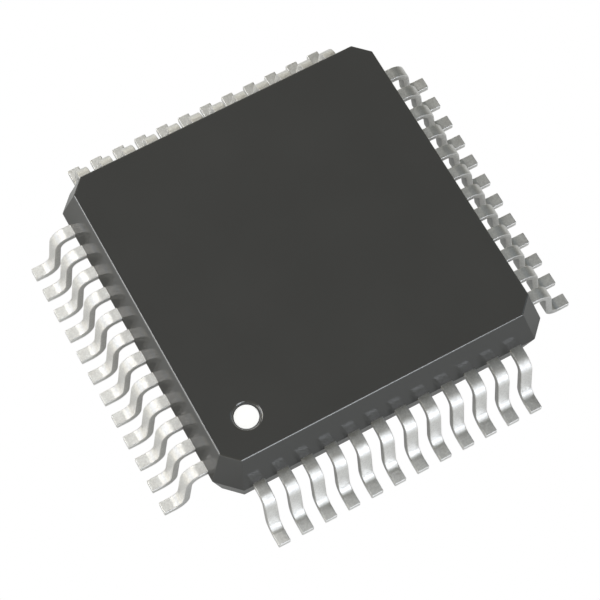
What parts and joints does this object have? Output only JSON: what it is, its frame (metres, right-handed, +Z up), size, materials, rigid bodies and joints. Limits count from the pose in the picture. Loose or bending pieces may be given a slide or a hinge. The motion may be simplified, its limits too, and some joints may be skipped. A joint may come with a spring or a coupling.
{
  "type": "quad flat pack chip",
  "caption": "Square black moulded integrated circuit with a row of gull-wing leads on every side, chamfered corners and a white index dot.",
  "frame": {"origin": "centre of the seating plane, midway between the lead feet", "axes": "X right along the front row of leads, Y to the back, Z up; the index corner is at -X -Y"},
  "size_m": [0.009, 0.009, 0.0021],
  "materials": {
    "moulding": "matte",
    "white_ink": "matte",
    "tinned_leads": "satin",
    "lead_frame": "satin",
    "adhesive": "matte",
    "silicon": "gloss",
    "gold_wire": "satin"
  },
  "bodies": {
    "root": {"moulded_body": "moulding", "index_dot": "white_ink", "die_pad": "lead_frame", "die_attach": "adhesive", "die": "silicon", "bond_wires_front": "gold_wire", "bond_wires_right": "gold_wire", "bond_wires_back": "gold_wire", "bond_wires_left": "gold_wire", "lead_01": "tinned_leads", "lead_02": "tinned_leads", "lead_03": "tinned_leads", "lead_04": "tinned_leads", "lead_05": "tinned_leads", "lead_06": "tinned_leads", "lead_07": "tinned_leads", "lead_08": "tinned_leads", "lead_09": "tinned_leads", "lead_10": "tinned_leads", "lead_11": "tinned_leads", "lead_12": "tinned_leads", "lead_13": "tinned_leads", "lead_14": "tinned_leads", "lead_15": "tinned_leads", "lead_16": "tinned_leads", "lead_17": "tinned_leads", "lead_18": "tinned_leads", "lead_19": "tinned_leads", "lead_20": "tinned_leads", "lead_21": "tinned_leads", "lead_22": "tinned_leads", "lead_23": "tinned_leads", "lead_24": "tinned_leads", "lead_25": "tinned_leads", "lead_26": "tinned_leads", "lead_27": "tinned_leads", "lead_28": "tinned_leads", "lead_29": "tinned_leads", "lead_30": "tinned_leads", "lead_31": "tinned_leads", "lead_32": "tinned_leads", "lead_33": "tinned_leads", "lead_34": "tinned_leads", "lead_35": "tinned_leads", "lead_36": "tinned_leads", "lead_37": "tinned_leads", "lead_38": "tinned_leads", "lead_39": "tinned_leads", "lead_40": "tinned_leads", "lead_41": "tinned_leads", "lead_42": "tinned_leads", "lead_43": "tinned_leads", "lead_44": "tinned_leads", "lead_45": "tinned_leads", "lead_46": "tinned_leads", "lead_47": "tinned_leads", "lead_48": "tinned_leads"}
  },
  "joints": []
}
